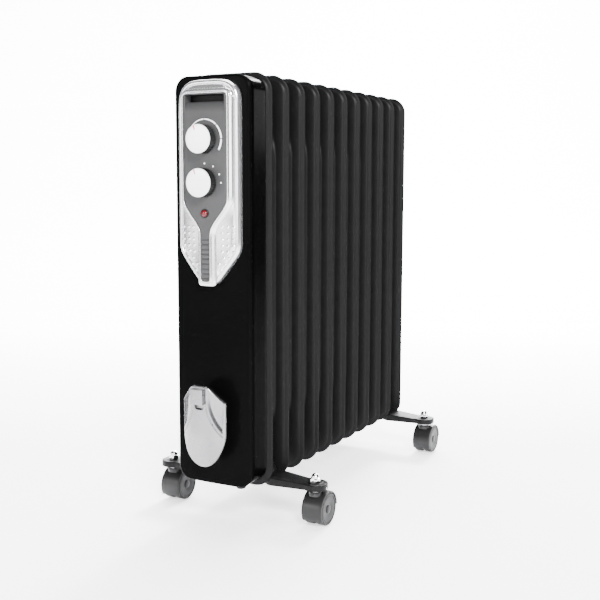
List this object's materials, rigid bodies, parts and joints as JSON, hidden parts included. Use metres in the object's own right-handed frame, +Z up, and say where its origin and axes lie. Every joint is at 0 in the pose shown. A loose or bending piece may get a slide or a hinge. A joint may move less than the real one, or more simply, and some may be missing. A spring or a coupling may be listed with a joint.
{
  "type": "oil filled radiator heater",
  "caption": "Free-standing oil filled radiator heater on swivel casters: upright pressed fins behind a slim control panel with thermostat and power knobs.",
  "frame": {"origin": "on the floor, under the centre of the whole heater's bounding box", "axes": "+Z up; the control panel faces -Y and the fins stack towards +Y; +X to the right as seen from the control panel"},
  "size_m": [0.2788, 0.5886, 0.6344],
  "materials": {
    "fin_enamel": "satin charcoal enamel",
    "casing_enamel": "gloss black enamel",
    "bracket_enamel": "satin black enamel",
    "silver_plastic": "silver painted plastic",
    "grey_plastic": "dark grey satin plastic",
    "knob_plastic": "silver face, dark grip",
    "black_plastic": "moulded",
    "caster_plastic": "moulded nylon, satin",
    "lamp_red": "clear red",
    "chrome": "polished",
    "steel": "zinc plated",
    "brass": "turned",
    "cable_jacket": "heat resisting sleeve"
  },
  "bodies": {
    "radiator": {"fin_01": "fin_enamel", "fin_02": "fin_enamel", "fin_03": "fin_enamel", "fin_04": "fin_enamel", "fin_05": "fin_enamel", "fin_06": "fin_enamel", "fin_07": "fin_enamel", "fin_08": "fin_enamel", "fin_09": "fin_enamel", "fin_10": "fin_enamel", "fin_11": "fin_enamel", "heating_element": "steel", "oil_filler_plug": "brass", "casing_wrap": "casing_enamel", "casing_rear_plate": "casing_enamel", "front_panel": "casing_enamel", "control_bezel": "silver_plastic", "control_fascia": "grey_plastic", "thermostat_body": "black_plastic", "power_switch_body": "black_plastic", "pilot_lens": "lamp_red", "pilot_lamp": "lamp_red", "thermal_cutout": "steel", "wiring_loom": "cable_jacket", "cord_gland": "black_plastic", "cord_hook_post": "black_plastic", "cord_hook_plate": "silver_plastic", "cord_clip": "silver_plastic", "front_foot_bracket": "bracket_enamel", "front_u_bolt": "steel", "front_left_wing_nut": "steel", "front_left_caster_stem": "steel", "front_left_cap_nut": "chrome", "front_right_wing_nut": "steel", "front_right_caster_stem": "steel", "front_right_cap_nut": "chrome", "rear_foot_bracket": "bracket_enamel", "rear_u_bolt": "steel", "rear_left_wing_nut": "steel", "rear_left_caster_stem": "steel", "rear_left_cap_nut": "chrome", "rear_right_wing_nut": "steel", "rear_right_caster_stem": "steel", "rear_right_cap_nut": "chrome"},
    "thermostat_control": {"thermostat_knob": "knob_plastic", "thermostat_shaft": "steel"},
    "power_control": {"power_knob": "knob_plastic", "power_shaft": "steel"},
    "front_left_caster": {"front_left_caster_hood": "caster_plastic"},
    "front_left_wheel_left_body": {"front_left_wheel_left": "caster_plastic"},
    "front_left_wheel_right_body": {"front_left_wheel_right": "caster_plastic"},
    "front_right_caster": {"front_right_caster_hood": "caster_plastic"},
    "front_right_wheel_left_body": {"front_right_wheel_left": "caster_plastic"},
    "front_right_wheel_right_body": {"front_right_wheel_right": "caster_plastic"},
    "rear_left_caster": {"rear_left_caster_hood": "caster_plastic"},
    "rear_left_wheel_left_body": {"rear_left_wheel_left": "caster_plastic"},
    "rear_left_wheel_right_body": {"rear_left_wheel_right": "caster_plastic"},
    "rear_right_caster": {"rear_right_caster_hood": "caster_plastic"},
    "rear_right_wheel_left_body": {"rear_right_wheel_left": "caster_plastic"},
    "rear_right_wheel_right_body": {"rear_right_wheel_right": "caster_plastic"}
  },
  "joints": [
    {"name": "thermostat_turn", "type": "hinge", "parent": "radiator", "child": "thermostat_control", "pos_m": [0, -0.26835, 0.542], "axis": [0, 1, 0], "range_deg": [-115, 155]},
    {"name": "power_turn", "type": "hinge", "parent": "radiator", "child": "power_control", "pos_m": [0, -0.26835, 0.4845], "axis": [0, 1, 0], "range_deg": [0, 110]},
    {"name": "front_left_caster_swivel", "type": "hinge", "parent": "radiator", "child": "front_left_caster", "pos_m": [-0.1214, -0.175, 0.052], "axis": [0, 0, 1], "continuous": true},
    {"name": "front_left_wheel_left_roll", "type": "hinge", "parent": "front_left_caster", "child": "front_left_wheel_left_body", "pos_m": [-0.1214, -0.162, 0.0235], "axis": [1, 0, 0], "continuous": true},
    {"name": "front_left_wheel_right_roll", "type": "hinge", "parent": "front_left_caster", "child": "front_left_wheel_right_body", "pos_m": [-0.1214, -0.162, 0.0235], "axis": [1, 0, 0], "continuous": true},
    {"name": "front_right_caster_swivel", "type": "hinge", "parent": "radiator", "child": "front_right_caster", "pos_m": [0.1214, -0.175, 0.052], "axis": [0, 0, 1], "continuous": true},
    {"name": "front_right_wheel_left_roll", "type": "hinge", "parent": "front_right_caster", "child": "front_right_wheel_left_body", "pos_m": [0.1214, -0.162, 0.0235], "axis": [1, 0, 0], "continuous": true},
    {"name": "front_right_wheel_right_roll", "type": "hinge", "parent": "front_right_caster", "child": "front_right_wheel_right_body", "pos_m": [0.1214, -0.162, 0.0235], "axis": [1, 0, 0], "continuous": true},
    {"name": "rear_left_caster_swivel", "type": "hinge", "parent": "radiator", "child": "rear_left_caster", "pos_m": [-0.1214, 0.2541, 0.052], "axis": [0, 0, 1], "continuous": true},
    {"name": "rear_left_wheel_left_roll", "type": "hinge", "parent": "rear_left_caster", "child": "rear_left_wheel_left_body", "pos_m": [-0.1214, 0.2671, 0.0235], "axis": [1, 0, 0], "continuous": true},
    {"name": "rear_left_wheel_right_roll", "type": "hinge", "parent": "rear_left_caster", "child": "rear_left_wheel_right_body", "pos_m": [-0.1214, 0.2671, 0.0235], "axis": [1, 0, 0], "continuous": true},
    {"name": "rear_right_caster_swivel", "type": "hinge", "parent": "radiator", "child": "rear_right_caster", "pos_m": [0.1214, 0.2541, 0.052], "axis": [0, 0, 1], "continuous": true},
    {"name": "rear_right_wheel_left_roll", "type": "hinge", "parent": "rear_right_caster", "child": "rear_right_wheel_left_body", "pos_m": [0.1214, 0.2671, 0.0235], "axis": [1, 0, 0], "continuous": true},
    {"name": "rear_right_wheel_right_roll", "type": "hinge", "parent": "rear_right_caster", "child": "rear_right_wheel_right_body", "pos_m": [0.1214, 0.2671, 0.0235], "axis": [1, 0, 0], "continuous": true}
  ]
}
